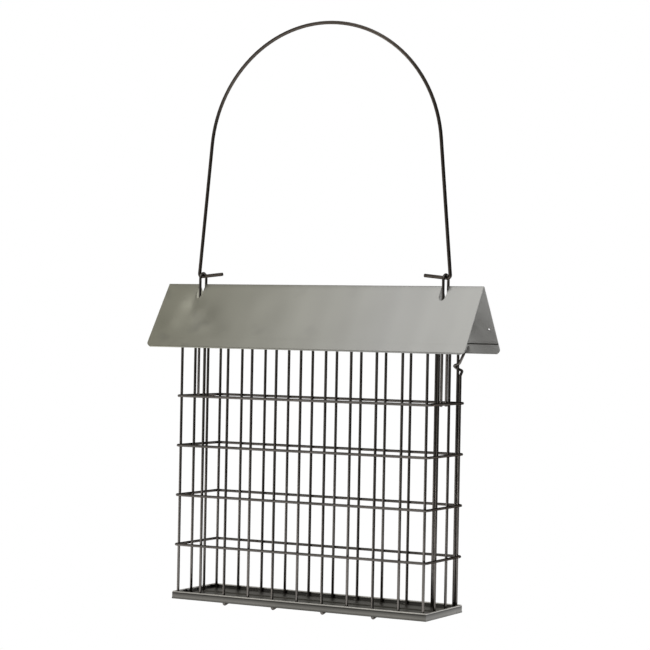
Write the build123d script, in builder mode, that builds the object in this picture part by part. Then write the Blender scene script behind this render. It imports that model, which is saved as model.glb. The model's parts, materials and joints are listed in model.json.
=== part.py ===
from build123d import *
import os
from math import acos, atan2, cos, hypot, radians, sin, tan

# A hanging suet cage: a welded wire cage on a folded sheet tray, under a loose folded
# sheet roof, carried by a bent wire handle whose pins turn in two hairpin loops.
# X runs along the ridge, +Z is up and -Y is the front. The origin is the hang point,
# on the inside of the handle's bow at its top, where a hook carries the feeder.

# ---- stock -------------------------------------------------------------------------
wire_d = 2.5                 # cage, ring and hairpin wire
handle_wire_d = 3.2          # handle wire
sheet = 0.8                  # roof and tray sheet
weld_gap = 0.03              # upright to ring, at each weld
hinge_play = 0.08            # pin to loop, at the top of the loop

# ---- cage --------------------------------------------------------------------------
upright_pitch = 25.4
end_pitch = 24.0             # the two outermost gaps are a little narrower
uprights_each_face = 11
cage_depth = 67.6            # front uprights to back uprights
side_uprights = 2
ring_pitch = 45.7
low_ring_drop = 248.2        # pin axis to the lowest ring
ring_names = ["ring_low", "ring_lower_middle", "ring_upper_middle", "ring_high"]
wire_stub = 2.4              # upright above the top ring, which is inside the uprights
clinched = (2, 4, 6, 8)      # uprights whose ends are bent over under the tray

# ---- hairpins and handle -----------------------------------------------------------
handle_drop = 229.7          # hang point to the pin axis
hairpin_spread = 10.3        # leg to leg
hairpin_tail = 2.3           # leg below the high ring's centre
bow_radius = 119.0
foot_x = 130.0
pin_rise_deg = 5.7           # pins climb towards their inner ends
pin_tip_x = 104.5
foot_bend_radius = 2.6
tip_chamfer = 0.35

# ---- roof --------------------------------------------------------------------------
roof_length = 325.0
ridge_bend_radius = 0.8      # this and the next three are on the sheet's centre line
eave_half_width = 38.4
eave_drop = 65.4             # pin axis to the eave
roof_rise = 58.45            # eave to the point where the two slopes meet
hem_length = 9.5
hem_gap = 0.2
roof_corner_radius = 4.5
slot_width = 6.5
slot_half_reach = 9.0        # each side of the ridge
hang_hole_d = 2.0
hang_hole_from_end = 5.5
hang_hole_up_slope = 25.0    # from the eave

# ---- tray --------------------------------------------------------------------------
tray_half_length = 130.0
tray_half_depth = 36.9
floor_drop = 46.4            # lowest ring to the tray floor
lip_rise = 3.4               # floor to the top of the lip
skirt_height = 7.0           # lip top to the skirt's lower edge
lip_gap = 0.1                # inner wall to skirt
tray_corner_radius = 1.6
lip_round = 0.7
wire_stand = 0.05            # upright to the tray floor
floor_slot_length = 6.4
floor_slot_width = 2.7
floor_slot_shift = -1.2
bead_width = 4.6
bead_height = 1.0
bead_round = 0.8             # rounding along the bead's top edges
bead_y = 3.0
bead_end_gap = 10.0
corner_slit = 0.5
notch_width = 0.8
notch_y = 26.0
clinch_depth = 5.2           # tray underside to the bend's corner
clinch_lift = 1.9            # the bent end climbs back to the tray
clinch_reach = 8.0
clinch_radius = 2.4

# ---- seam wire ---------------------------------------------------------------------
seam_wrap_rise = 29.0        # high ring to the start of the wrap
seam_wrap_pitch = 2.2        # climb along each side of the wrap
seam_bend_radius = 1.5
seam_clear = 0.12            # wrapped wire to the upright it holds
seam_tail_out = 4.6
seam_tail_up = 9.5

# ---- worked-out places -------------------------------------------------------------
pin_z = -handle_drop
low_ring_z = pin_z - low_ring_drop
high_ring_z = low_ring_z + ring_pitch * (len(ring_names) - 1)
top_ring_z = high_ring_z + ring_pitch
floor_z = low_ring_z - floor_drop
cage_half_length = upright_pitch * (uprights_each_face - 3) / 2 + end_pitch
cage_half_depth = cage_depth / 2
ring_offset = wire_d + weld_gap
eave_z = pin_z - eave_drop
apex_z = eave_z + roof_rise

upright_x = [-cage_half_length]
upright_x += [upright_pitch * (i - (uprights_each_face - 1) / 2) for i in range(1, uprights_each_face - 1)]
upright_x += [cage_half_length]


def finish(part, name):
    """Label the piece and write its file."""
    part.label = name
    export_step(part, f"parts/{name}.step")
    print(name, round(part.volume, 1))


def bent_wire(plane, points, radii, diameter):
    """A round wire along straight runs joined by bends, drawn in the plane."""
    with BuildPart() as wire:
        with BuildLine(plane) as route:
            FilletPolyline(*points, radius=radii)
        with BuildSketch(Plane(origin=route.line @ 0, z_dir=route.line % 0)):
            Circle(diameter / 2)
        sweep(path=route.line)
    return wire.part


def straight_upright(x, y):
    """A straight wire from the tray floor to just above the top ring."""
    foot_z = floor_z + wire_stand
    with BuildPart() as wire:
        with BuildSketch(Plane.XY.offset(foot_z)):
            with Locations((x, y)):
                Circle(wire_d / 2)
        extrude(amount=top_ring_z + wire_stub - foot_z)
    return wire.part


def clinched_upright(x, side):
    """A wire of the front (side -1) or back (side 1) face, bent over under the tray."""
    corner_z = floor_z - sheet - clinch_depth
    top = (side * cage_half_depth, top_ring_z + wire_stub)
    corner = (side * cage_half_depth, corner_z)
    end = (side * (cage_half_depth - clinch_reach), corner_z + clinch_lift)
    return bent_wire(Plane.YZ.offset(x), [end, corner, top], [clinch_radius], wire_d)


def cage_ring(z, side):
    """A horizontal wire round the outside (side 1) or the inside (side -1) of the uprights."""
    half_x = cage_half_length + side * ring_offset
    half_y = cage_half_depth + side * ring_offset
    with BuildPart() as ring:
        with BuildLine(Plane.XY.offset(z)) as route:
            FilletPolyline(
                (half_x, half_y), (-half_x, half_y), (-half_x, -half_y), (half_x, -half_y),
                radius=ring_offset, close=True,
            )
        with BuildSketch(Plane(origin=route.line @ 0, z_dir=route.line % 0)):
            Circle(wire_d / 2)
        sweep(path=route.line)
    return ring.part


def hairpin(x):
    """A loop in the plane of the cage's end: two legs and a half-round top."""
    half = hairpin_spread / 2
    arch_z = pin_z + handle_wire_d / 2 + hinge_play + wire_d / 2 - half
    low_z = high_ring_z - hairpin_tail
    with BuildPart() as loop:
        with BuildLine(Plane.YZ.offset(x)) as route:
            Line((-half, low_z), (-half, arch_z))
            ThreePointArc((-half, arch_z), (0, arch_z + half), (half, arch_z))
            Line((half, arch_z), (half, low_z))
        with BuildSketch(Plane.XY.offset(low_z)):
            with Locations((x, -half)):
                Circle(wire_d / 2)
        sweep(path=route.line)
    return loop.part


os.makedirs("parts", exist_ok=True)

# ---- handle: two pins, two legs and a round bow --------------------------------------
pin_climb = tan(radians(pin_rise_deg))
foot_z = pin_z - (foot_x - cage_half_length) * pin_climb
tip_z = foot_z + (foot_x - pin_tip_x) * pin_climb
bow_centre_z = handle_wire_d / 2 - bow_radius
foot_reach = hypot(foot_x, foot_z - bow_centre_z)
leg_angle = atan2(foot_z - bow_centre_z, foot_x) + acos(bow_radius / foot_reach)
leg_top = (bow_radius * cos(leg_angle), bow_centre_z + bow_radius * sin(leg_angle))

with BuildPart() as handle:
    with BuildLine(Plane.XZ) as handle_route:
        FilletPolyline((pin_tip_x, tip_z), (foot_x, foot_z), leg_top, radius=foot_bend_radius)
        ThreePointArc(leg_top, (0, handle_wire_d / 2), (-leg_top[0], leg_top[1]))
        FilletPolyline(
            (-leg_top[0], leg_top[1]), (-foot_x, foot_z), (-pin_tip_x, tip_z), radius=foot_bend_radius
        )
    handle_start = handle_route.line @ 0
    with BuildSketch(Plane(origin=handle_start, z_dir=handle_route.line % 0)):
        Circle(handle_wire_d / 2)
    sweep(path=handle_route.line)
    tip_edges = handle.edges().filter_by(GeomType.CIRCLE).sort_by(lambda e: abs(e.center().X))
    chamfer(tip_edges[:2], tip_chamfer)
finish(handle.part, "handle")

# ---- hairpin loops -------------------------------------------------------------------
finish(hairpin(-cage_half_length), "hairpin_left")
finish(hairpin(cage_half_length), "hairpin_right")

# ---- roof: one sheet folded at the ridge and hemmed inwards at both eaves ---------------
slope_angle = atan2(roof_rise, eave_half_width)
run = (cos(slope_angle), -sin(slope_angle))
inward = (-sin(slope_angle), -cos(slope_angle))
fold_radius = (sheet + hem_gap) / 2

with BuildPart() as roof:
    with BuildSketch(Plane.YZ.offset(-roof_length / 2)) as roof_section:
        with BuildLine() as roof_line:
            ends = []
            for side in (-1, 1):
                eave = (side * eave_half_width, eave_z)
                fold_mid = (
                    eave[0] + side * (run[0] * fold_radius + inward[0] * fold_radius),
                    eave[1] + run[1] * fold_radius + inward[1] * fold_radius,
                )
                fold_end = (
                    eave[0] + side * inward[0] * fold_radius * 2,
                    eave[1] + inward[1] * fold_radius * 2,
                )
                hem_end = (fold_end[0] - side * run[0] * hem_length, fold_end[1] - run[1] * hem_length)
                ThreePointArc(eave, fold_mid, fold_end)
                Line(fold_end, hem_end)
                ends.append(eave)
            FilletPolyline(ends[0], (0, apex_z), ends[1], radius=ridge_bend_radius)
        trace(line_width=sheet)
    extrude(amount=roof_length)
    # rounded corners at the four eave ends, cut square to each slope
    for side in (-1, 1):
        slope_plane = Plane(
            origin=(0, side * eave_half_width, eave_z),
            x_dir=(1, 0, 0),
            z_dir=(0, side * sin(slope_angle), cos(slope_angle)),
        )
        toward_eave = -side
        fold_reach = fold_radius + sheet / 2
        with BuildSketch(slope_plane):
            for end in (-1, 1):
                corner = (end * roof_length / 2, toward_eave * fold_reach)
                with BuildLine():
                    across = (corner[0] - end * roof_corner_radius, corner[1])
                    along = (corner[0], corner[1] - toward_eave * roof_corner_radius)
                    bulge = roof_corner_radius * (1 - cos(radians(45)))
                    middle = (corner[0] - end * bulge, corner[1] - toward_eave * bulge)
                    Line(corner, across)
                    ThreePointArc(across, middle, along)
                    Line(along, corner)
                make_face()
        extrude(amount=hem_length, both=True, mode=Mode.SUBTRACT)
    # the two slots across the ridge for the hairpins
    with BuildSketch(Plane.XY.offset(apex_z)):
        with Locations((-cage_half_length, 0), (cage_half_length, 0)):
            SlotOverall(2 * slot_half_reach, slot_width, rotation=90)
    extrude(amount=-roof_rise / 2, mode=Mode.SUBTRACT)
    # a small hole near the right end of the back slope
    hole_plane = Plane(
        origin=(0, eave_half_width, eave_z),
        x_dir=(1, 0, 0),
        z_dir=(0, sin(slope_angle), cos(slope_angle)),
    )
    with BuildSketch(hole_plane):
        with Locations((roof_length / 2 - hang_hole_from_end, hang_hole_up_slope)):
            Circle(hang_hole_d / 2)
    extrude(amount=hem_length / 2, both=True, mode=Mode.SUBTRACT)
finish(roof.part, "roof")

# ---- tray: a floor, an upturned wall folded over into an outer skirt --------------------
lip_z = floor_z + lip_rise
skirt_bottom_z = lip_z - skirt_height
inner_wall = 2 * (2 * sheet + lip_gap)
with BuildPart() as tray:
    with BuildSketch(Plane.XY.offset(skirt_bottom_z)):
        RectangleRounded(2 * tray_half_length, 2 * tray_half_depth, tray_corner_radius)
    extrude(amount=skirt_height)
    fillet(tray.faces().sort_by(Axis.Z)[-1].edges(), lip_round)
    # the space above the floor
    with BuildSketch(Plane.XY.offset(floor_z)):
        Rectangle(2 * tray_half_length - inner_wall, 2 * tray_half_depth - inner_wall)
    extrude(amount=skirt_height, mode=Mode.SUBTRACT)
    # the space under the floor
    with BuildSketch(Plane.XY.offset(floor_z - sheet)):
        Rectangle(2 * (tray_half_length - sheet), 2 * (tray_half_depth - sheet))
    extrude(amount=-skirt_height, mode=Mode.SUBTRACT)
    # the narrow gap between the wall and the skirt, open underneath
    with BuildSketch(Plane.XY.offset(floor_z - sheet)):
        Rectangle(2 * (tray_half_length - sheet), 2 * (tray_half_depth - sheet))
        Rectangle(
            2 * (tray_half_length - sheet - lip_gap), 2 * (tray_half_depth - sheet - lip_gap),
            mode=Mode.SUBTRACT,
        )
    extrude(amount=lip_rise, mode=Mode.SUBTRACT)
    # stiffening bead pressed up along the floor
    bead_length = 2 * (tray_half_length - bead_end_gap)
    with BuildSketch(Plane.XY.offset(floor_z)):
        with Locations((0, bead_y)):
            SlotOverall(bead_length, bead_width)
    extrude(amount=bead_height)
    bead_edges = tray.faces().filter_by(Axis.Z).filter_by(
        lambda f: abs(f.center().Z - floor_z - bead_height) < bead_height / 2
    )[0].edges()
    fillet(bead_edges, bead_round)
    with BuildSketch(Plane.XY.offset(floor_z - sheet)):
        with Locations((0, bead_y)):
            SlotOverall(bead_length - 2 * sheet, bead_width - 2 * sheet)
    extrude(amount=bead_height, mode=Mode.SUBTRACT)
    # slots for the clinched uprights
    with BuildSketch(Plane.XY.offset(floor_z)):
        for i in clinched:
            with Locations(
                (upright_x[i] + floor_slot_shift, cage_half_depth),
                (upright_x[i] + floor_slot_shift, -cage_half_depth),
            ):
                SlotOverall(floor_slot_length, floor_slot_width)
    extrude(amount=-2 * sheet, mode=Mode.SUBTRACT)
    # the skirt is slit at its corners and notched once near the back
    with BuildSketch(Plane.XY.offset(skirt_bottom_z)):
        for sx in (-1, 1):
            for sy in (-1, 1):
                with Locations((sx * tray_half_length, sy * tray_half_depth)):
                    Rectangle(4 * sheet + 2 * tray_corner_radius, corner_slit, rotation=45 * sx * sy)
        with Locations((tray_half_length, notch_y)):
            Rectangle(2 * sheet, notch_width)
    extrude(amount=floor_z - sheet - skirt_bottom_z, mode=Mode.SUBTRACT)
finish(tray.part, "tray")

# ---- cage rings ------------------------------------------------------------------------
for row, name in enumerate(ring_names):
    finish(cage_ring(low_ring_z + row * ring_pitch, 1), name)
finish(cage_ring(top_ring_z, -1), "ring_top")

# ---- cage uprights: the last back wire stands one wire in from the seam wire --------------
for i, x in enumerate(upright_x):
    back_x = x - ring_offset if i == len(upright_x) - 1 else x
    for face, face_x, side in (("front", x, -1), ("back", back_x, 1)):
        if i in clinched:
            wire = clinched_upright(face_x, side)
        else:
            wire = straight_upright(face_x, side * cage_half_depth)
        finish(wire, f"{face}_wire_{i + 1:02d}")
side_step = cage_depth / (side_uprights + 1)
for n in range(side_uprights):
    y = side_step * (n + 1) - cage_half_depth
    finish(straight_upright(-cage_half_length, y), f"left_wire_{n + 1}")
    finish(straight_upright(cage_half_length, y), f"right_wire_{n + 1}")

# ---- seam wire: closes the back right corner and wraps once round the last back wire -------
wrap_z = high_ring_z + seam_wrap_rise
wrap_half = wire_d + seam_clear
held_x = cage_half_length - ring_offset
wrap_first_out = 1.25        # the wrap starts this share of its half width out, from the corner


def round_held(across, along, climbs):
    """A point on the wrap, beside the upright that it goes round."""
    z = wrap_z + climbs * seam_wrap_pitch
    return (held_x + across * wrap_half, cage_half_depth + along * wrap_half, z)


seam_points = [
    (cage_half_length, cage_half_depth, floor_z + wire_stand),
    (cage_half_length, cage_half_depth, wrap_z - 2 * seam_wrap_pitch),
    round_held(wrap_first_out, 1, 0),
    round_held(-1, 1, 1),
    round_held(-1, -1, 2),
    round_held(1, -1, 3),
]
tail_from = seam_points[-1]
seam_points.append((tail_from[0] + seam_tail_out, tail_from[1], tail_from[2] + seam_tail_up))
with BuildPart() as seam_wire:
    with BuildLine() as seam_route:
        FilletPolyline(*seam_points, radius=seam_bend_radius)
    with BuildSketch(Plane(origin=seam_route.line @ 0, z_dir=seam_route.line % 0)):
        Circle(wire_d / 2)
    sweep(path=seam_route.line)
finish(seam_wire.part, "seam_wire")
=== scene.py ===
import json
import math

import bmesh
import bpy
from bpy.props import FloatProperty, FloatVectorProperty, IntProperty, PointerProperty
from mathutils import Matrix, Vector, noise


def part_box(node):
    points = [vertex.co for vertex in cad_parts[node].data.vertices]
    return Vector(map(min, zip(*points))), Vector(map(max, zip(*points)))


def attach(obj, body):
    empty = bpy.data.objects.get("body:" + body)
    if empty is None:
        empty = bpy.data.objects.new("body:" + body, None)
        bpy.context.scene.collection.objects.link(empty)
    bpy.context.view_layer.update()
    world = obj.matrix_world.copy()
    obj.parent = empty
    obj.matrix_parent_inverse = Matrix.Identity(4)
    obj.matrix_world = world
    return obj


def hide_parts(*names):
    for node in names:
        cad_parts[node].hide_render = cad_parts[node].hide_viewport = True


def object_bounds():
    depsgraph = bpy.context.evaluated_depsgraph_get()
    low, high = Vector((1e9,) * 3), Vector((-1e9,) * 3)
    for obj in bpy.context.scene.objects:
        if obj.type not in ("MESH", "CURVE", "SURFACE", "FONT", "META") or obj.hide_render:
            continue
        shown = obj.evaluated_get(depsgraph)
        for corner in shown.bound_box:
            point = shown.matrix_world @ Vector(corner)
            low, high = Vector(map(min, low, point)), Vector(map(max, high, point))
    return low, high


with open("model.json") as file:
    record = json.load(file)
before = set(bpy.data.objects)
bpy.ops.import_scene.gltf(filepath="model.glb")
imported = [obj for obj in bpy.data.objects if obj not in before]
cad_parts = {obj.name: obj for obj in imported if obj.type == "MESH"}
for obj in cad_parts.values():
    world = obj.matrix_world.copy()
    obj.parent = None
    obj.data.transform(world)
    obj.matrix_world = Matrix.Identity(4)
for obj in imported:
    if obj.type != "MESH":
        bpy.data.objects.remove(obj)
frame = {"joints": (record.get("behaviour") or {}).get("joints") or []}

bl_info = {
    "name": "Hanging bird feeder",
    "version": (1, 0, 0),
    "blender": (4, 5, 0),
    "location": "View3D > Sidebar > Feeder",
    "description": "Builds the finished wires, roof and tray of a hanging bird feeder on its frame",
    "category": "Object",
}


def middle_of(node):
    """The middle of a CAD node's box."""
    low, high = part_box(node)
    return (low + high) / 2


CAD_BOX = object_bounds()
ROOF_LOW, ROOF_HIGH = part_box("roof")
TRAY_LOW, TRAY_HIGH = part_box("tray")
END_WIRE_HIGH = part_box("right_wire_1")[1]
PIN_Z = next(j for j in frame["joints"] if j["name"] == "handle_swing")["pos_m"][2]
HALF_LENGTH = middle_of("right_wire_1").x
WIRE_D = 2 * (END_WIRE_HIGH.x - HALF_LENGTH)
HALF_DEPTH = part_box("back_wire_02")[1].y - WIRE_D / 2
RINGS = ("ring_low", "ring_lower_middle", "ring_upper_middle", "ring_high", "ring_top")
RING_Z = {ring: middle_of(ring).z for ring in RINGS}
UPRIGHTS = [f"{face}_wire_{n:02d}" for face in ("front", "back") for n in range(1, 12)]
END_WIRES = [f"{end}_wire_{n}" for end in ("left", "right") for n in (1, 2)]


# ---- settings ---------------------------------------------------------------------------


def length(name, description, default):
    """A setting that is a length, in metres."""
    return FloatProperty(name=name, description=description, default=default, unit="LENGTH")


class WireSettings(bpy.types.PropertyGroup):
    """Sizes shared by the cage's wires and the handle."""

    wire_diameter: length("Cage wire", "Diameter of the cage, ring and loop wire", WIRE_D)
    handle_diameter: length("Handle wire", "Diameter of the handle wire", 0.0032)
    sides: IntProperty(
        name="Sides", description="Facets around a wire", default=16, min=6)
    bend_step: FloatProperty(
        name="Bend step", description="Turn between two cross sections in a bend",
        default=math.radians(12), subtype="ANGLE")
    clinch_radius: length("Clinch radius", "Bend of the ends turned over under the tray", 0.0024)
    clinch_lift: length("Clinch lift", "How far a turned end climbs back to the tray", 0.0019)
    cut_round: length("Cut edge", "Rounding of a cropped wire end", 0.0003)
    weld_width: length("Weld width", "Width of a spot weld between two wires", 0.0021)


class HandleSettings(bpy.types.PropertyGroup):
    """Shape of the handle's bow, feet and pins."""

    bow_radius: length("Bow radius", "Radius of the bow on the wire's middle", 0.119)
    foot_x: length("Foot reach", "Middle of the handle to each foot bend", 0.130)
    foot_radius: length("Foot radius", "Bend from leg to pin", 0.0026)
    pin_rise: FloatProperty(
        name="Pin rise", description="Slope of the pins towards their inner ends",
        default=math.radians(5.7), subtype="ANGLE")
    pin_tip_x: length("Pin tip", "Middle of the handle to each pin's tip", 0.1045)


class RoofSettings(bpy.types.PropertyGroup):
    """Sizes of the folded roof sheet, on the middle of its thickness."""

    sheet: length("Sheet", "Thickness of the sheet", 0.0008)
    ridge_radius: length("Ridge radius", "Bend along the ridge", 0.0008)
    eave_half_width: length("Eave half width", "Ridge to eave, level", 0.0384)
    rise: length("Rise", "Eave to where the slopes would meet", 0.05845)
    eave_drop: length("Eave drop", "Pin to eave", 0.0654)
    hem: length("Hem", "Sheet folded back inside each eave", 0.0095)
    hem_gap: length("Hem gap", "Air between slope and hem", 0.0002)
    corner_radius: length("Corner radius", "Rounding of the eave corners", 0.0045)
    slot_width: length("Slot width", "Slot for each wire loop", 0.0065)
    slot_reach: length("Slot reach", "Slot end from the ridge, level", 0.009)
    hole_diameter: length("Hole", "Small hole in the back slope", 0.002)
    hole_from_end: length("Hole from end", "Hole from the right end", 0.0055)
    hole_up_slope: length("Hole up slope", "Hole from the eave", 0.025)
    dent_depth: length("Dent depth", "Depth of the handling dents", 0.0007)
    print_through: length(
        "Hem print", "Height of the line the hem presses through the slope", 0.00006)


class TraySettings(bpy.types.PropertyGroup):
    """Sizes of the folded tray."""

    sheet: length("Sheet", "Thickness of the sheet", 0.0008)
    lip_rise: length("Lip rise", "Floor to the top of the lip", 0.0034)
    lip_gap: length("Lip gap", "Air between the wall and the skirt", 0.0001)
    tuck: length("Tuck", "How far the skirt's lower edge is pressed in", 0.0003)
    corner_radius: length("Corner radius", "Rounding of the skirt's corners", 0.0012)
    bead_width: length("Bead width", "Stiffening bead along the floor", 0.0046)
    bead_height: length("Bead height", "Height of the bead", 0.001)
    bead_y: length("Bead place", "Bead from the middle of the floor", 0.003)
    bead_end: length("Bead end", "Wall to the bead's end", 0.010)
    slot_length: length("Slot length", "Floor slot for a turned-over wire", 0.0064)
    slot_width: length("Slot width", "Width of a floor slot", 0.0027)
    slot_shift: length("Slot shift", "Slot's middle from its wire", -0.0012)
    notch_y: length("Notch place", "Notch in the right skirt", 0.026)
    notch_width: length("Notch width", "Width of the notch", 0.0008)


class FinishSettings(bpy.types.PropertyGroup):
    """Colours and gloss of the four finishes."""

    cage_wire: FloatVectorProperty(
        name="Cage wire", description="Burnished dark steel wire", subtype="COLOR",
        default=(0.145, 0.134, 0.125), min=0, max=1)
    handle_wire: FloatVectorProperty(
        name="Handle wire", description="Browner, darker steel wire", subtype="COLOR",
        default=(0.090, 0.077, 0.067), min=0, max=1)
    roof_sheet: FloatVectorProperty(
        name="Roof sheet", description="Lacquered grey sheet", subtype="COLOR",
        default=(0.312, 0.311, 0.300), min=0, max=1)
    tray_sheet: FloatVectorProperty(
        name="Tray sheet", description="Duller grey sheet", subtype="COLOR",
        default=(0.250, 0.244, 0.232), min=0, max=1)
    # Painted warm tint on the roof's left end, standing in for the warmer reflection there
    painted_warm_tint: FloatVectorProperty(
        name="Yellowing", description="What aged lacquer lets through", subtype="COLOR",
        default=(1.0, 0.985, 0.83), min=0, max=1)
    wire_roughness: FloatProperty(
        name="Wire roughness", description="Gloss of the wires", default=0.30, min=0, max=1)
    wire_edge: FloatProperty(
        name="Wire edge", description="How bright the wires' edges mirror, seen aslant",
        default=0.12,
        min=0, max=1)
    sheet_roughness: FloatProperty(
        name="Sheet roughness", description="Gloss of the sheets", default=0.30, min=0, max=1)


class StageSettings(bpy.types.PropertyGroup):
    """Camera, lights and floor."""

    lens: FloatProperty(
        name="Lens", description="Focal length", default=116.81, min=10, subtype="DISTANCE_CAMERA")
    place: FloatVectorProperty(
        name="Camera", description="Camera position", default=(0.92299, -1.67943, -0.27310),
        subtype="TRANSLATION", unit="LENGTH")
    yaw: FloatProperty(
        name="Yaw", description="Camera turn to the left",
        default=math.radians(28.655), subtype="ANGLE")
    roll: FloatProperty(
        name="Roll", description="Camera roll", default=math.radians(1.074), subtype="ANGLE")
    floor_gap: length("Floor gap", "Air under the hanging feeder", 0.80)
    floor_radius: length("Floor radius", "Reach of the round floor", 2.6)
    floor_glow: FloatProperty(
        name="Floor glow", description="Brightness of the white studio floor", default=1.35, min=0)
    dome: FloatProperty(
        name="Dome light", description="Brightness of the soft surroundings overhead",
        default=0.40, min=0)
    dark_side: FloatProperty(
        name="Dark side", description="Share of the soft light left on the feeder's right",
        default=0.08, min=0, max=1)
    low_dome: FloatProperty(
        name="Low light", description="Brightness that comes up from the pale studio",
        default=0.95, min=0)
    top_light: FloatProperty(
        name="Top light", description="Power of the overhead softbox", default=7.4, subtype="POWER")
    side_light: FloatProperty(
        name="Side light", description="Power of the low softbox on the left",
        default=5.0, subtype="POWER")
    back_light: FloatProperty(
        name="Back light", description="Power of the softbox behind on the right",
        default=3.4, subtype="POWER")


GROUPS = {
    "feeder_wire": WireSettings,
    "feeder_handle": HandleSettings,
    "feeder_roof": RoofSettings,
    "feeder_tray": TraySettings,
    "feeder_finish": FinishSettings,
    "feeder_stage": StageSettings,
}


# ---- finishes ---------------------------------------------------------------------------


FINISH_NAMES = {
    "cage_wire": "burnished_cage_wire",
    "handle_wire": "brown_handle_wire",
    "roof_sheet": "lacquered_roof_sheet",
    "tray_sheet": "dull_tray_sheet",
}

# Painted light and shade on the tray by height, from the skirt's lower edge (0) to the top of the
# lip (1): painted shade at the lower edge and in the crease under the lip, a painted highlight
# along the skirt's lower band and a strong painted highlight on the lip
RIM_PAINTED_LIGHT_AND_SHADE = (
    (0.0, 0.25), (0.07, 0.9), (0.30, 1.15), (0.58, 0.8), (0.72, 0.5), (0.76, 0.22), (0.83, 0.25),
    (0.88, 3.0))
# Painted shade on the tray's floor, inside the lip
FLOOR_PAINTED_SHADE = (0.46, 0.45, 0.42)
LIP_REACH = 0.0019


def feed(tree, socket, value):
    """Links another node's output to a socket, or sets the socket's own value."""
    if isinstance(value, bpy.types.NodeSocket):
        tree.links.new(value, socket)
    else:
        socket.default_value = value


def add_node(tree, kind, inputs=None, **settings):
    """A shader node with its settings, and with its inputs by name or number."""
    node = tree.nodes.new(kind)
    for name, value in settings.items():
        setattr(node, name, value)
    for name, value in (inputs or {}).items():
        feed(tree, node.inputs[name], value)
    return node


def object_place(tree):
    """Where on the object a point is."""
    return add_node(tree, "ShaderNodeTexCoord").outputs["Object"]


def cloudy(tree, place, scale, detail):
    """Soft noise over the object."""
    inputs = {"Vector": place, "Scale": scale, "Detail": detail}
    return add_node(tree, "ShaderNodeTexNoise", inputs).outputs["Fac"]


def shade_range(tree, source, low, high, start=0.3, end=0.7):
    """A value between start and end turned into one between low and high."""
    inputs = {"Value": source, "From Min": start, "From Max": end, "To Min": low, "To Max": high}
    return add_node(tree, "ShaderNodeMapRange", inputs).outputs["Result"]


def sum_up(tree, operation, *values):
    """The result of a maths node."""
    inputs = dict(enumerate(values))
    return add_node(tree, "ShaderNodeMath", inputs, operation=operation).outputs["Value"]


def multiplied(tree, first, second):
    """Two colours or vectors multiplied, channel by channel."""
    inputs = {0: first, 1: second}
    return add_node(tree, "ShaderNodeVectorMath", inputs, operation="MULTIPLY").outputs["Vector"]


def mixed(tree, share, first, second):
    """A colour between two, each a value or another node's output."""
    ends = [c if isinstance(c, bpy.types.NodeSocket) else (*c, 1) for c in (first, second)]
    inputs = {"Factor": share, "A": ends[0], "B": ends[1]}
    return add_node(tree, "ShaderNodeMix", inputs, data_type="RGBA").outputs["Result"]


def metal(name, colour, roughness, grain, contrast, stretch=(1, 1, 1), edge=1.0):
    """Metal whose shade wanders softly; gives the material, its shader and the shade."""
    material = bpy.data.materials.new(name)
    material.use_nodes = True
    tree = material.node_tree
    shader = tree.nodes["Principled BSDF"]
    shader.inputs["Metallic"].default_value = 1.0
    shader.inputs["Roughness"].default_value = roughness
    shader.inputs["Specular Tint"].default_value = (edge, edge, edge, 1)
    inputs = {"Vector": object_place(tree), "Scale": stretch}
    place = add_node(tree, "ShaderNodeMapping", inputs).outputs["Vector"]
    share = shade_range(tree, cloudy(tree, place, grain, detail=1.0), 0, 1)
    dark = [c * (1 - contrast) for c in colour]
    light = [c * (1 + contrast) for c in colour]
    shade = mixed(tree, share, dark, light)
    feed(tree, shader.inputs["Base Color"], shade)
    return material, shader, shade


def wire_finish(name, colour, roughness, grain, edge):
    """Burnished wire that mirrors little at its edges."""
    return metal(name, colour, roughness, grain, contrast=0.15, edge=edge)[0]


def roof_finish(name, look):
    """Grey sheet with a painted warm tint towards the left end, standing in for the warmer
    reflection there, and soft painted dark blotches there for the dents' dark reflections.
    """
    material, shader, shade = metal(
        name, look.roof_sheet, look.sheet_roughness, grain=12, contrast=0.04, stretch=(3, 0.3, 0.3))
    tree = material.node_tree
    place = object_place(tree)
    along = add_node(tree, "ShaderNodeSeparateXYZ", {"Vector": place}).outputs["X"]
    # Painted warm tint, full at the left end and fading out just right of the middle, standing in
    # for the warmer reflection there
    tinted = shade_range(tree, along, 1, 0, ROOF_LOW.x, ROOF_HIGH.x * 0.5)
    warm_tinted = mixed(tree, tinted, shade, multiplied(tree, shade, look.painted_warm_tint))
    # Soft dark blotches towards the left end: painted shade standing in for the dents' dark
    # reflections
    blotch_noise = cloudy(tree, place, scale=38.0, detail=2.0)
    blotch_share = shade_range(tree, blotch_noise, low=0, high=0.35, start=0.60, end=0.74)
    painted_blotches = sum_up(tree, "MULTIPLY", blotch_share, tinted)
    blotch_colour = [c * 0.5 for c in look.roof_sheet]
    feed(tree, shader.inputs["Base Color"], mixed(tree, painted_blotches, warm_tinted, blotch_colour))
    return material


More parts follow.
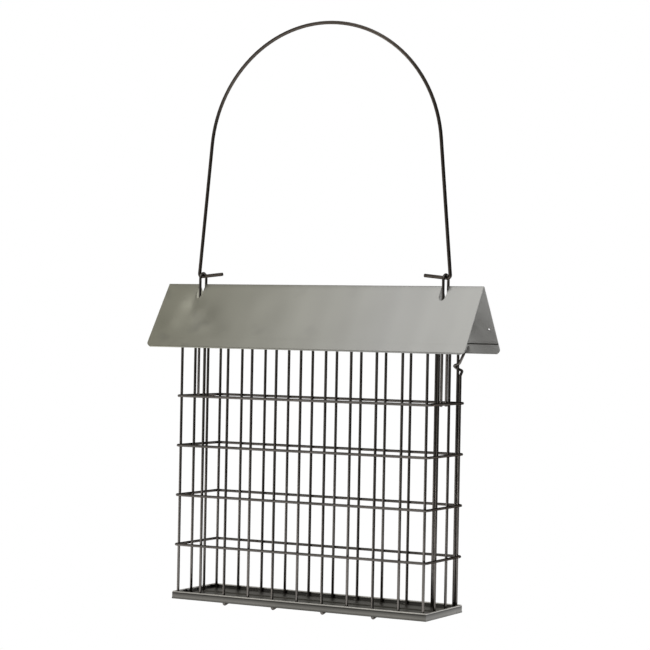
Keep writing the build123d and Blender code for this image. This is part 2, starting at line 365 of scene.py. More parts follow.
def tray_finish(name, look):
    """Dull grey sheet with painted shade, darkest on the floor and in the crease under the lip, and
    painted highlights on the lip and the skirt's lower band.
    """
    roughness = look.sheet_roughness * 1.15
    material, shader, shade = metal(name, look.tray_sheet, roughness, grain=18, contrast=0.12)
    tree = material.node_tree
    split = add_node(tree, "ShaderNodeSeparateXYZ", {"Vector": object_place(tree)})
    height = shade_range(tree, split.outputs["Z"], 0, 1, TRAY_LOW.z, TRAY_HIGH.z)
    rim = add_node(tree, "ShaderNodeValToRGB", {"Fac": height})
    stops = rim.color_ramp.elements
    while len(stops) < len(RIM_PAINTED_LIGHT_AND_SHADE):
        stops.new(0.5)
    for stop, (at, value) in zip(stops, RIM_PAINTED_LIGHT_AND_SHADE):
        stop.position = at
        stop.color = (value, value, value, 1)
    inside = [
        sum_up(tree, "LESS_THAN", sum_up(tree, "ABSOLUTE", split.outputs[axis]), half - LIP_REACH)
        for axis, half in (("X", TRAY_HIGH.x), ("Y", TRAY_HIGH.y))]
    floor = sum_up(tree, "MULTIPLY", *inside)
    # Painted shade on the floor, and painted light and shade on the rim by height
    painted_light_and_shade = mixed(tree, floor, rim.outputs["Color"], FLOOR_PAINTED_SHADE)
    feed(tree, shader.inputs["Base Color"], multiplied(tree, shade, painted_light_and_shade))
    return material


def finish_of(slot):
    """The material for one of the record's slots, made the first time it is asked for."""
    name = FINISH_NAMES[slot]
    known = bpy.data.materials.get(name)
    if known:
        return known
    look = bpy.context.scene.feeder_finish
    if slot == "roof_sheet":
        return roof_finish(name, look)
    if slot == "tray_sheet":
        return tray_finish(name, look)
    gloss = look.wire_roughness
    if slot == "cage_wire":
        return wire_finish(name, look.cage_wire, gloss, grain=30, edge=look.wire_edge)
    return wire_finish(name, look.handle_wire, gloss * 1.1, grain=25, edge=look.wire_edge)


# ---- shared shaping ---------------------------------------------------------------------


class BentWire:
    """A round wire grown from a circle: straight runs are extruded and bends are spun."""

    def __init__(self, start, heading, diameter, finer):
        settings = bpy.context.scene.feeder_wire
        self.bm = bmesh.new()
        self.tip = Vector(start)
        self.heading = Vector(heading).normalized()
        self.step = settings.bend_step / finer
        self.cut_round = settings.cut_round
        turn = self.heading.to_track_quat("Z", "Y").to_matrix().to_4x4()
        bmesh.ops.create_circle(
            self.bm, cap_ends=False, segments=settings.sides, radius=diameter / 2,
            matrix=Matrix.Translation(self.tip) @ turn)
        self.first_loop = list(self.bm.edges)
        self.last_loop = list(self.bm.edges)

    def run(self, length):
        """Goes straight on."""
        made = bmesh.ops.extrude_edge_only(self.bm, edges=self.last_loop)["geom"]
        verts = [g for g in made if isinstance(g, bmesh.types.BMVert)]
        bmesh.ops.translate(self.bm, verts=verts, vec=self.heading * length)
        fresh = set(verts)
        self.last_loop = [
            g for g in made if isinstance(g, bmesh.types.BMEdge) and set(g.verts) <= fresh]
        self.tip += self.heading * length

    def bend(self, toward, angle, radius):
        """Turns towards a direction square to the heading."""
        centre = self.tip + toward * radius
        axis = self.heading.cross(toward)
        verts = list({v for e in self.last_loop for v in e.verts})
        made = bmesh.ops.spin(
            self.bm, geom=verts + self.last_loop, cent=centre, axis=axis, angle=angle,
            steps=max(2, math.ceil(angle / self.step)), use_duplicate=False)["geom_last"]
        self.last_loop = [g for g in made if isinstance(g, bmesh.types.BMEdge)]
        turn = Matrix.Rotation(angle, 3, axis)
        self.tip = centre + turn @ (self.tip - centre)
        self.heading = turn @ self.heading

    def close(self):
        """Joins the end to the start, for a ring."""
        bmesh.ops.remove_doubles(self.bm, verts=self.bm.verts, dist=1e-6)

    def crop(self):
        """Flat ends with their edges taken off."""
        for loop in (self.first_loop, self.last_loop):
            bmesh.ops.edgeloop_fill(self.bm, edges=loop)
        bmesh.ops.bevel(
            self.bm, geom=self.first_loop + self.last_loop, offset=self.cut_round, segments=2,
            profile=0.5, affect="EDGES", material=-1)


def wire_through(points, radii, diameter, closed=False, finer=1):
    """A wire along straight runs between points, with a bend at each inner one."""
    points = [Vector(p) for p in points]
    headings = [(b - a).normalized() for a, b in zip(points, points[1:])]
    turns = [a.angle(b) for a, b in zip(headings, headings[1:])]
    cuts = [0] + [r * math.tan(t / 2) for r, t in zip(radii, turns)] + [0]
    wire = BentWire(points[0], headings[0], diameter, finer)
    for i, heading in enumerate(headings):
        straight = (points[i + 1] - points[i]).length - cuts[i] - cuts[i + 1]
        if straight > 1e-7:
            wire.run(straight)
        if i < len(turns):
            toward = headings[i + 1] - headings[i + 1].dot(wire.heading) * wire.heading
            wire.bend(toward.normalized(), turns[i], radii[i])
    if closed:
        wire.close()
    else:
        wire.crop()
    return wire.bm


def keep_piece(name, bm, body, slot, node=None, sharp=math.radians(38)):
    """Turns a finished bmesh into a piece that rides on a body and stands for its CAD node."""
    bmesh.ops.recalc_face_normals(bm, faces=bm.faces)
    mesh = bpy.data.meshes.new(name)
    bm.to_mesh(mesh)
    bm.free()
    if not mesh.polygons:
        raise RuntimeError(f"{name} has no faces")
    mesh.shade_smooth()
    mesh.set_sharp_from_angle(angle=sharp)
    mesh.materials.append(finish_of(slot))
    piece = bpy.data.objects.new(name, mesh)
    bpy.context.scene.collection.objects.link(piece)
    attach(piece, body)
    if node:
        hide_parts(node)
    return piece


def give_thickness(piece, thickness, edge):
    """Sheet metal: solid, with its cut edges eased."""
    solid = piece.modifiers.new("sheet", "SOLIDIFY")
    solid.thickness = thickness
    solid.offset = 0
    solid.use_even_offset = True
    eased = piece.modifiers.new("cut edges", "BEVEL")
    eased.width = edge
    eased.segments = 2
    eased.limit_method = "ANGLE"
    eased.angle_limit = math.radians(50)
    eased.use_clamp_overlap = True
    eased.harden_normals = True


def smooth_step(value, start, end):
    """0 before start, 1 after end, and eased in between."""
    t = max(0.0, min(1.0, (value - start) / (end - start)))
    return t * t * (3 - 2 * t)


def stations(start, end, step, extra=()):
    """Places from start to end at about the step, with the extra ones in, in order."""
    count = max(1, round((end - start) / step))
    even = [start + (end - start) * i / count for i in range(count + 1)]
    kept = [e for e in extra if start < e < end]
    even = [e for e in even if all(abs(e - k) > step * 0.3 for k in kept) or e in (start, end)]
    return sorted(set(even + kept))


def flat_blank(x_places, y_places):
    """A flat sheet of cells whose corners stand at the given places."""
    bm = bmesh.new()
    row = [bm.verts.new((x_places[0], y_places[0], 0))]
    edges = []
    for here, there in zip(x_places, x_places[1:]):
        made = bmesh.ops.extrude_vert_indiv(bm, verts=[row[-1]])
        bmesh.ops.translate(bm, verts=made["verts"], vec=(there - here, 0, 0))
        row += made["verts"]
        edges += made["edges"]
    for here, there in zip(y_places, y_places[1:]):
        made = bmesh.ops.extrude_edge_only(bm, edges=edges)["geom"]
        verts = {g for g in made if isinstance(g, bmesh.types.BMVert)}
        bmesh.ops.translate(bm, verts=list(verts), vec=(0, there - here, 0))
        edges = [g for g in made if isinstance(g, bmesh.types.BMEdge) and set(g.verts) <= verts]
    return bm


def cut_out(bm, inside):
    """Removes the cells whose middle is inside."""
    cells = [f for f in bm.faces if inside(f.calc_center_median())]
    if not cells:
        raise RuntimeError("a cut-out met no cell of the sheet")
    bmesh.ops.delete(bm, geom=cells, context="FACES")


# ---- wires ------------------------------------------------------------------------------


class FEEDER_OT_uprights(bpy.types.Operator):
    """Bends the uprights of the two long faces, eight of them turned over under the tray"""

    bl_idname = "feeder.uprights"
    bl_label = "Face uprights"

    def execute(self, context):
        wire = context.scene.feeder_wire
        for node in UPRIGHTS:
            low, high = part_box(node)
            side = -1 if node.startswith("front") else 1
            x = middle_of(node).x
            points, radii = [(x, side * HALF_DEPTH, low.z)], []
            if high.y - low.y > 2 * wire.wire_diameter:
                tail_y = high.y if side < 0 else low.y
                slope = math.atan2(wire.clinch_lift, abs(tail_y - side * HALF_DEPTH))
                cut = wire.clinch_radius / math.tan(math.pi / 4 - slope / 2)
                corner_z = low.z + wire.wire_diameter / 2 + wire.clinch_radius - cut
                corner = (x, side * HALF_DEPTH, corner_z)
                points = [(x, tail_y, corner[2] + wire.clinch_lift), corner]
                radii = [wire.clinch_radius]
            points.append((x, side * HALF_DEPTH, high.z))
            bm = wire_through(points, radii, wire.wire_diameter)
            keep_piece(node.replace("wire", "upright"), bm, "cage", "cage_wire", node)
        return {"FINISHED"}


class FEEDER_OT_end_wires(bpy.types.Operator):
    """Cuts the four straight uprights of the cage's ends"""

    bl_idname = "feeder.end_wires"
    bl_label = "End uprights"

    def execute(self, context):
        wire = context.scene.feeder_wire
        for node in END_WIRES:
            low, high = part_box(node)
            x, y, _ = middle_of(node)
            points = [(x, y, low.z), (x, y, high.z)]
            bm = wire_through(points, [], wire.wire_diameter)
            keep_piece(node.replace("wire", "upright"), bm, "cage", "cage_wire", node)
        return {"FINISHED"}


class FEEDER_OT_rings(bpy.types.Operator):
    """Bends the five level rings round the uprights"""

    bl_idname = "feeder.rings"
    bl_label = "Rings"

    def execute(self, context):
        wire = context.scene.feeder_wire
        for node in RINGS:
            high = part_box(node)[1]
            half_x = high.x - wire.wire_diameter / 2
            half_y = high.y - wire.wire_diameter / 2
            z = RING_Z[node]
            corner = abs(half_x - HALF_LENGTH)
            points = [
                (0, -half_y, z), (half_x, -half_y, z), (half_x, half_y, z),
                (-half_x, half_y, z), (-half_x, -half_y, z), (0, -half_y, z)]
            bm = wire_through(points, [corner] * 4, wire.wire_diameter, closed=True)
            keep_piece(node.replace("ring", "hoop"), bm, "cage", "cage_wire", node)
        return {"FINISHED"}


class FEEDER_OT_loops(bpy.types.Operator):
    """Bends the two hairpin loops that carry the handle's pins"""

    bl_idname = "feeder.loops"
    bl_label = "Hairpin loops"

    def execute(self, context):
        wire = context.scene.feeder_wire
        for node in ("hairpin_left", "hairpin_right"):
            low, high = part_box(node)
            x = middle_of(node).x
            half = (high.y - low.y - wire.wire_diameter) / 2
            top = high.z - wire.wire_diameter / 2
            points = [(x, -half, low.z), (x, -half, top), (x, half, top), (x, half, low.z)]
            bm = wire_through(points, [half, half], wire.wire_diameter)
            keep_piece(node.replace("hairpin", "loop"), bm, "cage", "cage_wire", node)
        return {"FINISHED"}


class FEEDER_OT_seam_wire(bpy.types.Operator):
    """Bends the closing wire, wrapped once round the last back upright"""

    bl_idname = "feeder.seam_wire"
    bl_label = "Seam wire"

    wrap_rise: length("Wrap rise", "Fourth ring to the wrap", 0.029)
    wrap_pitch: length("Wrap pitch", "Climb along each side of the wrap", 0.0022)
    bend_radius: length("Bend radius", "Bends of the wrap", 0.0015)
    clearance: length("Clearance", "Wrap to the wire it holds", 0.00012)
    first_out: FloatProperty(
        name="First turn", description="Share of the wrap's half width at its first corner",
        default=1.25)
    tail_out: length("Tail out", "Reach of the tail", 0.0046)
    tail_up: length("Tail up", "Climb of the tail", 0.0095)

    def execute(self, context):
        wire = context.scene.feeder_wire
        foot_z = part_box("seam_wire")[0].z
        held_x = middle_of("back_wire_11").x
        wrap_z = RING_Z["ring_high"] + self.wrap_rise
        half = wire.wire_diameter + self.clearance
        points = [
            (HALF_LENGTH, HALF_DEPTH, foot_z),
            (HALF_LENGTH, HALF_DEPTH, wrap_z - 2 * self.wrap_pitch)]
        turns = [(self.first_out, 1), (-1, 1), (-1, -1), (1, -1)]
        for n, (across, along) in enumerate(turns):
            z = wrap_z + n * self.wrap_pitch
            points.append((held_x + across * half, HALF_DEPTH + along * half, z))
        points.append((points[-1][0] + self.tail_out, points[-1][1], points[-1][2] + self.tail_up))
        bm = wire_through(points, [self.bend_radius] * (len(points) - 2), wire.wire_diameter)
        keep_piece("closing_wire", bm, "cage", "cage_wire", "seam_wire")
        return {"FINISHED"}


class FEEDER_OT_handle(bpy.types.Operator):
    """Bends the handle: a round bow, two legs and two pins"""

    bl_idname = "feeder.handle"
    bl_label = "Handle"

    def execute(self, context):
        wire = context.scene.feeder_wire
        shape = context.scene.feeder_handle
        radius = wire.handle_diameter / 2
        climb = math.tan(shape.pin_rise)
        foot_z = PIN_Z - (shape.foot_x - HALF_LENGTH) * climb
        tip_z = foot_z + (shape.foot_x - shape.pin_tip_x) * climb
        bow_z = radius - shape.bow_radius
        reach = math.hypot(shape.foot_x, foot_z - bow_z)
        leg_angle = math.atan2(foot_z - bow_z, shape.foot_x) + math.acos(shape.bow_radius / reach)
        shoulder_x = shape.bow_radius * math.tan(math.pi / 4 - leg_angle / 2)
        points = [
            (-shape.pin_tip_x, 0, tip_z), (-shape.foot_x, 0, foot_z), (-shoulder_x, 0, radius),
            (shoulder_x, 0, radius), (shape.foot_x, 0, foot_z), (shape.pin_tip_x, 0, tip_z)]
        radii = [shape.foot_radius, shape.bow_radius, shape.bow_radius, shape.foot_radius]
        bm = wire_through(points, radii, wire.handle_diameter, finer=4)
        keep_piece("bow_handle", bm, "handle", "handle_wire", "handle")
        return {"FINISHED"}


class FEEDER_OT_welds(bpy.types.Operator):
    """Adds the spot welds where the rings cross the uprights and loops"""

    bl_idname = "feeder.welds"
    bl_label = "Spot welds"

    def execute(self, context):
        wire = context.scene.feeder_wire
        bm = bmesh.new()
        reach = wire.wire_diameter / 2
        ends = [middle_of(node) for node in END_WIRES]
        hairpin_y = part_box("hairpin_left")[1].y - reach
        size = Matrix.Diagonal((wire.weld_width / 2,) * 3 + (1,))
        for ring in RINGS:
            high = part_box(ring)[1]
            face_y = (high.y - reach + HALF_DEPTH) / 2
            end_x = (high.x - reach + HALF_LENGTH) / 2
            spots = []
            for node in UPRIGHTS:
                side = -1 if node.startswith("front") else 1
                spots.append((middle_of(node).x, side * face_y))
            spots += [(math.copysign(end_x, end.x), end.y) for end in ends]
            if ring in ("ring_high", "ring_top"):
                spots += [(sx * end_x, sy * hairpin_y) for sx in (-1, 1) for sy in (-1, 1)]
            for x, y in spots:
                place = Matrix.Translation((x, y, RING_Z[ring]))
                bmesh.ops.create_icosphere(bm, subdivisions=2, radius=1, matrix=place @ size)
        keep_piece("spot_welds", bm, "cage", "cage_wire")
        return {"FINISHED"}


# ---- roof -------------------------------------------------------------------------------


class RoofSection:
    """The roof sheet's section: a distance from the ridge along the sheet gives a place."""

    def __init__(self, roof):
        self.slope = math.atan2(roof.rise, roof.eave_half_width)
        self.ridge = roof.ridge_radius
        self.fold = (roof.sheet + roof.hem_gap) / 2
        self.eave = Vector((roof.eave_half_width, PIN_Z - roof.eave_drop))
        self.down = Vector((math.cos(self.slope), -math.sin(self.slope)))
        self.inward = Vector((-math.sin(self.slope), -math.cos(self.slope)))
        full = math.hypot(roof.rise, roof.eave_half_width)
        self.ridge_end = self.ridge * self.slope
        self.eave_at = self.ridge_end + full - self.ridge * math.tan(self.slope)
        self.fold_end = self.eave_at + math.pi * self.fold
        self.hem_end = self.fold_end + roof.hem
        self.centre_z = PIN_Z - roof.eave_drop + roof.rise - self.ridge / math.cos(self.slope)

    def place(self, along):
        """(y, z) and the outward direction at a signed distance from the ridge."""
        side = -1 if along < 0 else 1
        d = abs(along)
        if d < self.ridge_end:
            a = d / self.ridge
            out = Vector((math.sin(a), math.cos(a)))
            y, z = self.ridge * out.x, self.centre_z + self.ridge * out.y
        elif d < self.eave_at:
            out = -self.inward
            y, z = self.eave - self.down * (self.eave_at - d)
        elif d < self.fold_end:
            a = (d - self.eave_at) / self.fold
            out = self.down * math.sin(a) - self.inward * math.cos(a)
            y, z = self.eave + self.inward * self.fold + out * self.fold
        else:
            out = self.inward
            y, z = self.eave + self.inward * 2 * self.fold - self.down * (d - self.fold_end)
        return Vector((0, side * y, z)), Vector((0, side * out.x, out.y))

    def at_level(self, y):
        """Distance from the ridge where the slope has reached this far out."""
        return self.eave_at - (self.eave.x - y) / self.down.x


DENTS = (
    # x, share of the slope from the ridge, reach, depth as a share of the dent depth; front slope
    (-0.128, 0.34, 0.012, 1.0),
    (-0.112, 0.50, 0.015, 0.8),
    (-0.146, 0.62, 0.013, -0.5),
    (-0.098, 0.74, 0.017, 0.5),
    (-0.060, 0.30, 0.022, -0.2),
    (0.020, 0.60, 0.030, 0.15),
    (0.085, 0.40, 0.028, -0.15),
    (0.136, 0.55, 0.014, 0.2),
)


SLOPE_LENGTH = 0.07
RIPPLE = 0.175


def dent(x, share, depth):
    """How far the handling dents push the slope in at one point."""
    total = 0.0
    for dent_x, dent_share, reach, amount in DENTS:
        away = math.hypot(x - dent_x, (share - dent_share) * SLOPE_LENGTH)
        total += amount * math.exp(-((away / reach) ** 2) * 2)
    edge = smooth_step(share, 0.04, 0.25) * (1 - smooth_step(share, 0.72, 0.86))
    ripple = noise.noise(Vector((x * 28, share * 2.2, 3.1))) * RIPPLE
    return depth * (total + ripple) * edge


# Cross lines of the roof's blank, as shares of the slot's, corner's and hem print's sizes
ROOF_CELL = 0.005
SLOT_STEPS = (-1, -0.87, -0.5, 0, 0.5, 0.87, 1)
END_STEPS = (2, 1.3, 0.8, 0.4, 0.15)
EAVE_STEPS = (1.2, 1, 0.8, 0.6, 0.4, 0.25)
PRINT_STEPS = (-3, -2, -1, -0.5, 0, 0.5, 1, 2)
HEM_STEPS = (0.1, 0.2, 0.3, 0.4, 0.5, 0.75, 1)
PRINT_HALF_WIDTH = 0.0012


class FEEDER_OT_roof(bpy.types.Operator):
    """Folds the roof from one flat blank, with its slots, hems, hole and dents"""

    bl_idname = "feeder.roof"
    bl_label = "Roof"

    def execute(self, context):
        roof = context.scene.feeder_roof
        section = RoofSection(roof)
        half = ROOF_HIGH.x
        radius = roof.slot_width / 2
        straight = roof.slot_reach - radius
        hole_x = half - roof.hole_from_end
        hole_at = section.eave_at - roof.hole_up_slope
        hole_r = roof.hole_diameter / 2
        slot_x = [sx * HALF_LENGTH + radius * c for sx in (-1, 1) for c in SLOT_STEPS]
        end_x = [s * (half - roof.corner_radius * c) for s in (-1, 1) for c in END_STEPS]
        hole_sides = [hole_x - hole_r, hole_x + hole_r]
        x_places = stations(-half, half, ROOF_CELL, slot_x + end_x + hole_sides)
        slot_end = section.at_level(roof.slot_reach)
        print_line = section.eave_at - roof.hem
        lowest = section.eave_at + section.fold
        marks = [section.at_level(straight), slot_end, hole_at - hole_r, hole_at + hole_r]
        marks += [lowest - roof.corner_radius * c for c in EAVE_STEPS]
        marks += [print_line + 0.001 * c for c in PRINT_STEPS]
        slope_rows = stations(section.ridge_end, section.eave_at, ROOF_CELL, marks)
        ridge_rows = [section.ridge_end * i / 3 for i in range(1, 3)]
        fold_span = section.fold_end - section.eave_at
        fold_rows = [section.eave_at + fold_span * i / 8 for i in range(1, 9)]
        hem_rows = [section.fold_end + roof.hem * c for c in HEM_STEPS]
        half_rows = ridge_rows + slope_rows + fold_rows + hem_rows
        rows = sorted([-r for r in half_rows] + [0.0] + half_rows)
        bm = flat_blank(x_places, rows)
        cut_out(bm, lambda c: abs(abs(c.x) - HALF_LENGTH) < radius and abs(c.y) < slot_end)
        cut_out(bm, lambda c: abs(c.x - hole_x) < hole_r and abs(c.y - hole_at) < hole_r)
        self.round_hole(bm, Vector((hole_x, hole_at, 0)), hole_r)
        low_edge = section.eave + section.down * section.fold
        for vert in bm.verts:
            x, along = vert.co.x, vert.co.y
            from_slot = abs(abs(x) - HALF_LENGTH)
            if from_slot <= radius + 1e-6 and abs(abs(along) - slot_end) < 1e-5:
                level = straight + max(radius * 0.12, math.sqrt(max(0, radius**2 - from_slot**2)))
                along = math.copysign(section.at_level(level), along)
            spot, out = section.place(along)
            from_edge = (low_edge - Vector((abs(spot.y), spot.z))).dot(section.down)
            if from_edge < roof.corner_radius and abs(x) > half - 2 * roof.corner_radius:
                start = half - 2 * roof.corner_radius
                missing = roof.corner_radius - from_edge
                across = math.sqrt(max(0, roof.corner_radius**2 - missing**2))
                squeeze = (roof.corner_radius + across) / (half - start)
                x = math.copysign(start + (abs(x) - start) * squeeze, x)
            share = abs(along) / section.eave_at
            if share < 1:
                push = dent(x if along < 0 else -x, share, roof.dent_depth)
                from_print = (abs(along) - print_line) / PRINT_HALF_WIDTH
                raised = roof.print_through * math.exp(-(from_print**2))
                spot += out * (raised - push)
            vert.co = (x, spot.y, spot.z)
        piece = keep_piece("folded_roof", bm, "roof", "roof_sheet", "roof", sharp=math.radians(60))
        give_thickness(piece, roof.sheet, edge=0.00012)
        return {"FINISHED"}

    def round_hole(self, bm, centre, radius):
        """Turns the square opening around the centre into a round one."""
        rim = [e for e in bm.edges if e.is_boundary
               and all((v.co - centre).length < radius * 1.6 for v in e.verts)]
        bmesh.ops.subdivide_edges(bm, edges=rim, cuts=3)
        for vert in bm.verts:
            away = vert.co - centre
            if away.length < radius * 1.6:
                vert.co = centre + away.normalized() * radius


# ---- tray -------------------------------------------------------------------------------


# Cross lines of the tray's floor: cell sizes, then shares of a slot's and the bead's half sizes
FLOOR_CELLS = (0.012, 0.008)
FLOOR_SLOT_STEPS = (-1, -0.78, 0.78, 1)
BEAD_STEPS = (-1, -0.8, -0.6, -0.3, 0, 0.3, 0.6, 0.8, 1)
BEAD_END_STEPS = (0, 0.15, 0.4, 0.7, 1)
# The faint crease along the skirt: its drop below the middle, height and depth
CREASE_DROP, CREASE_HEIGHT, CREASE_DEPTH = 0.0002, 0.0004, 0.00003
TOUCH = 1e-6


class FEEDER_OT_tray(bpy.types.Operator):
    """Folds the tray: a beaded, slotted floor, an upturned wall and an outer skirt"""

    bl_idname = "feeder.tray"
    bl_label = "Tray"

    def execute(self, context):
        tray = context.scene.feeder_tray
        sheet = tray.sheet
        half_x, half_y = TRAY_HIGH.x, TRAY_HIGH.y
        wall = sheet * 1.5 + tray.lip_gap
        floor_top = TRAY_HIGH.z - tray.lip_rise
        slots = [
            (middle_of(node).x + tray.slot_shift, HALF_DEPTH * (-1 if "front" in node else 1))
            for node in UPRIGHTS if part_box(node)[0].z < TRAY_LOW.z]
        if not slots:
            raise RuntimeError("no upright is turned over under the tray")
        ends = [s + tray.slot_length / 2 * c for s, _ in slots for c in FLOOR_SLOT_STEPS]
        bead_end = half_x - tray.bead_end
        bead_r = tray.bead_width / 2
        bead_x = [s * (bead_end - bead_r * c) for s in (-1, 1) for c in BEAD_END_STEPS]
        slot_y = [s * HALF_DEPTH + tray.slot_width / 2 * c for s in (-1, 1) for c in (-1, 0, 1)]
        bead_y = [tray.bead_y + bead_r * c for c in BEAD_STEPS]
        notch = [tray.notch_y - tray.notch_width / 2, tray.notch_y + tray.notch_width / 2]
        marks = sorted({round(e, 6) for e in ends + bead_x})
        x_places = stations(wall - half_x, half_x - wall, FLOOR_CELLS[0], marks)
        marks = slot_y + bead_y + notch
        y_places = stations(wall - half_y, half_y - wall, FLOOR_CELLS[1], marks)
        bm = flat_blank(x_places, y_places)
        rim = [e for e in bm.edges if e.is_boundary]
        inside = tray.slot_length / 2
        cut_out(bm, lambda c: any(
            abs(c.x - x) < inside and abs(c.y - y) < tray.slot_width / 2 for x, y in slots))
        for vert in bm.verts:
            reach = max(0.0, abs(vert.co.x) - (bead_end - bead_r))
            away = math.hypot(reach, vert.co.y - tray.bead_y) / bead_r
            raised = tray.bead_height * (1 - smooth_step(away, 0.45, 1.0))
            vert.co.z = floor_top - sheet / 2 + raised
        self.raise_rim(bm, rim, floor_top)
        piece = keep_piece("folded_tray", bm, "cage", "tray_sheet", "tray", sharp=math.radians(50))
        give_thickness(piece, sheet, edge=0.0001)
        return {"FINISHED"}

    def raise_rim(self, bm, rim, floor_top):
        """Grows the wall, the fold at the lip and the skirt from the floor's edge."""
        tray = bpy.context.scene.feeder_tray
        sheet = tray.sheet
        fold = (sheet + tray.lip_gap) / 2
        skirt = sheet / 2
        wall = skirt + 2 * fold
        top = TRAY_HIGH.z - sheet / 2 - fold
        bottom = TRAY_LOW.z
        middle = (floor_top + bottom) / 2 - CREASE_DROP
        steps = [(wall, top)]
        steps += [(skirt + fold + fold * math.cos(a), top + fold * math.sin(a))
                  for a in (math.pi * i / 6 for i in range(1, 6))]
        steps += [(skirt, top), (skirt, middle + CREASE_HEIGHT), (skirt + CREASE_DEPTH, middle),
                  (skirt + tray.tuck, bottom)]
        inset = wall
        loop = rim
        corner_edges = []
        for step_inset, z in steps:
            made = bmesh.ops.extrude_edge_only(bm, edges=loop)["geom"]
            verts = [g for g in made if isinstance(g, bmesh.types.BMVert)]
            fresh = set(verts)
            outward = inset - step_inset
            edge_x = TRAY_HIGH.x - inset - TOUCH
            edge_y = TRAY_HIGH.y - inset - TOUCH
            for vert in verts:
                if abs(vert.co.x) > edge_x:
                    vert.co.x += math.copysign(outward, vert.co.x)
                if abs(vert.co.y) > edge_y:
                    vert.co.y += math.copysign(outward, vert.co.y)
                vert.co.z = z
            edges = [g for g in made if isinstance(g, bmesh.types.BMEdge)]
            loop = [e for e in edges if set(e.verts) <= fresh]
            at_corner = [e for e in edges if e not in loop and self.is_corner(e, step_inset, inset)]
            if z <= top and step_inset <= skirt + tray.tuck + TOUCH:
                corner_edges += at_corner
            inset = step_inset
        bmesh.ops.bevel(
            bm, geom=corner_edges, offset=tray.corner_radius, segments=3, profile=0.5,
            affect="EDGES", material=-1)
        gaps = [face for face in bm.faces if self.is_gap(face, floor_top - sheet)]
        bmesh.ops.delete(bm, geom=gaps, context="FACES")

    def is_corner(self, edge, inset, last_inset):
        """True for an edge that climbs a corner of the rim."""
        near, far = sorted(edge.verts, key=lambda v: abs(abs(v.co.x) - (TRAY_HIGH.x - inset)))
        return all(
            abs(abs(vert.co[axis]) - (TRAY_HIGH[axis] - off)) < TOUCH
            for vert, off in ((near, inset), (far, last_inset)) for axis in (0, 1))

    def is_gap(self, face, floor_under):
        """True for a cell of the skirt in a corner's slit or in the notch."""
        tray = bpy.context.scene.feeder_tray
        middle = face.calc_center_median()
        off_x = TRAY_HIGH.x - abs(middle.x)
        off_y = TRAY_HIGH.y - abs(middle.y)
        at_corner = max(off_x, off_y) < tray.corner_radius + tray.sheet
        slit = at_corner and abs(off_x - off_y) < tray.corner_radius * 0.25
        on_right = middle.x > TRAY_HIGH.x - 2 * tray.sheet
        notch = on_right and abs(middle.y - tray.notch_y) < tray.notch_width / 2
        return middle.z < floor_under and (slit or notch)


# ---- stage ------------------------------------------------------------------------------


# Softboxes: name, place, size, and the setting that holds the power
SOFTBOXES = (
    ("top_softbox", (-0.36, -0.75, 1.55), (1.3, 1.3), "top_light"),
    ("left_softbox", (-1.9, -1.1, -0.78), (0.7, 0.5), "side_light"),
    ("back_softbox", (0.95, 1.75, -0.45), (0.9, 1.2), "back_light"),
)
DARK_SIDE = (0.94, 0.33, 0)  # the way to the studio's dark side
DOME_TINT = (1, 0.985, 0.93, 1)
FLOOR_PAINT = (0.86, 0.86, 0.86, 1)


def softbox(name, place, aim, size, power):
    """A soft rectangular light that isn't seen itself."""
    light = bpy.data.lights.new(name, "AREA")
    light.shape = "RECTANGLE"
    light.size, light.size_y = size
    light.energy = power
    lamp = bpy.data.objects.new(name, light)
    bpy.context.scene.collection.objects.link(lamp)
    lamp.location = place
    lamp.rotation_mode = "QUATERNION"
    lamp.rotation_quaternion = (Vector(aim) - Vector(place)).to_track_quat("-Z", "Y")
    lamp.visible_camera = False


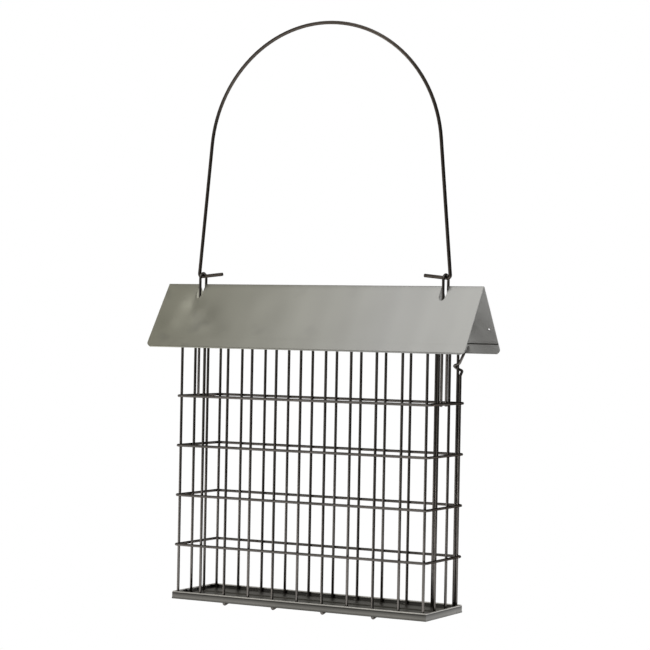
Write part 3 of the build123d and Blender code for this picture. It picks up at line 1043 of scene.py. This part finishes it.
class FEEDER_OT_stage(bpy.types.Operator):
    """Sets up the white floor, the soft studio light and the camera"""

    bl_idname = "feeder.stage"
    bl_label = "Stage"

    def execute(self, context):
        stage = context.scene.feeder_stage
        self.floor(stage)
        self.surroundings(stage)
        middle = (CAD_BOX[0] + CAD_BOX[1]) / 2
        for name, place, size, power in SOFTBOXES:
            softbox(name, place, middle, size, getattr(stage, power))
        self.camera(stage)
        context.scene.view_settings.view_transform = "Standard"
        return {"FINISHED"}

    def floor(self, stage):
        """A round white floor that runs out into the white surroundings."""
        bm = bmesh.new()
        bmesh.ops.create_circle(
            bm, cap_ends=True, segments=96, radius=stage.floor_radius,
            matrix=Matrix.Translation((0, 0, CAD_BOX[0].z - stage.floor_gap)))
        mesh = bpy.data.meshes.new("studio_floor")
        bm.to_mesh(mesh)
        bm.free()
        floor = bpy.data.objects.new("studio_floor", mesh)
        bpy.context.scene.collection.objects.link(floor)
        material = bpy.data.materials.new("pale_floor")
        material.use_nodes = True
        tree = material.node_tree
        shader = tree.nodes["Principled BSDF"]
        shader.inputs["Base Color"].default_value = FLOOR_PAINT
        shader.inputs["Roughness"].default_value = 0.9
        flat = multiplied(tree, object_place(tree), (1, 1, 0))
        away = add_node(tree, "ShaderNodeVectorMath", {0: flat}, operation="LENGTH")
        near, far = stage.floor_radius * 0.05, stage.floor_radius * 0.5
        share = shade_range(tree, away.outputs["Value"], low=0.6, high=1, start=near, end=far)
        white = add_node(tree, "ShaderNodeEmission", {"Strength": stage.floor_glow})
        inputs = {"Fac": share, 1: shader.outputs["BSDF"], 2: white.outputs["Emission"]}
        blend = add_node(tree, "ShaderNodeMixShader", inputs).outputs["Shader"]
        feed(tree, tree.nodes["Material Output"].inputs["Surface"], blend)
        mesh.materials.append(material)

    def surroundings(self, stage):
        """White behind the feeder, and a dimmer soft dome for what the metal mirrors."""
        world = bpy.data.worlds.new("studio")
        bpy.context.scene.world = world
        world.use_nodes = True
        tree = world.node_tree
        tree.nodes.clear()
        direction = add_node(tree, "ShaderNodeTexCoord").outputs["Generated"]
        height = add_node(tree, "ShaderNodeSeparateXYZ", {"Vector": direction}).outputs["Z"]
        inputs = {0: direction, 1: DARK_SIDE}
        right = add_node(tree, "ShaderNodeVectorMath", inputs, operation="DOT_PRODUCT")
        steep = sum_up(tree, "ABSOLUTE", height)
        level = sum_up(tree, "MULTIPLY_ADD", steep, -2.0, right.outputs["Value"])
        dimmed = shade_range(tree, level, 1, stage.dark_side, start=-0.75, end=-0.25)
        strength = shade_range(
            tree, height, stage.low_dome, stage.dome, start=-0.22, end=0.04)
        strength = sum_up(tree, "MULTIPLY", strength, dimmed)
        inputs = {"Color": DOME_TINT, "Strength": strength}
        dome = add_node(tree, "ShaderNodeBackground", inputs).outputs["Background"]
        white = add_node(tree, "ShaderNodeBackground", {"Color": (1, 1, 1, 1)})
        seen = add_node(tree, "ShaderNodeLightPath").outputs["Is Camera Ray"]
        inputs = {"Fac": seen, 1: dome, 2: white.outputs["Background"]}
        blend = add_node(tree, "ShaderNodeMixShader", inputs).outputs["Shader"]
        add_node(tree, "ShaderNodeOutputWorld", {"Surface": blend})

    def camera(self, stage):
        """A level camera, front right of the feeder."""
        data = bpy.data.cameras.new("camera")
        data.lens = stage.lens
        data.sensor_width = 36
        camera = bpy.data.objects.new("camera", data)
        bpy.context.scene.collection.objects.link(camera)
        turn = Matrix.Rotation(stage.yaw, 4, "Z") @ Matrix.Rotation(math.pi / 2, 4, "X")
        camera.matrix_world = (
            Matrix.Translation(stage.place) @ turn @ Matrix.Rotation(stage.roll, 4, "Z"))
        bpy.context.scene.camera = camera


# ---- panel and start --------------------------------------------------------------------


class FEEDER_PT_panel(bpy.types.Panel):
    """Lists the pieces and their sizes"""

    bl_idname = "FEEDER_PT_panel"
    bl_label = "Hanging bird feeder"
    bl_space_type = "VIEW_3D"
    bl_region_type = "UI"
    bl_category = "Feeder"

    def draw(self, context):
        for operator in OPERATORS:
            self.layout.operator(operator.bl_idname)
        for name in GROUPS:
            box = self.layout.box()
            box.label(text=name.replace("feeder_", "").capitalize())
            group = getattr(context.scene, name)
            for prop in group.bl_rna.properties.keys():
                if prop not in ("rna_type", "name"):
                    box.prop(group, prop)


OPERATORS = (
    FEEDER_OT_uprights,
    FEEDER_OT_end_wires,
    FEEDER_OT_rings,
    FEEDER_OT_loops,
    FEEDER_OT_seam_wire,
    FEEDER_OT_handle,
    FEEDER_OT_welds,
    FEEDER_OT_roof,
    FEEDER_OT_tray,
    FEEDER_OT_stage,
)


def register():
    for cls in (*GROUPS.values(), *OPERATORS, FEEDER_PT_panel):
        bpy.utils.register_class(cls)
    for name, group in GROUPS.items():
        setattr(bpy.types.Scene, name, PointerProperty(type=group))


def unregister():
    for name in GROUPS:
        delattr(bpy.types.Scene, name)
    for cls in (FEEDER_PT_panel, *reversed(OPERATORS), *reversed(list(GROUPS.values()))):
        bpy.utils.unregister_class(cls)


def main():
    register()
    for operator in OPERATORS:
        _, name = operator.bl_idname.split(".")
        getattr(bpy.ops.feeder, name)()


if __name__ == "__main__":
    main()
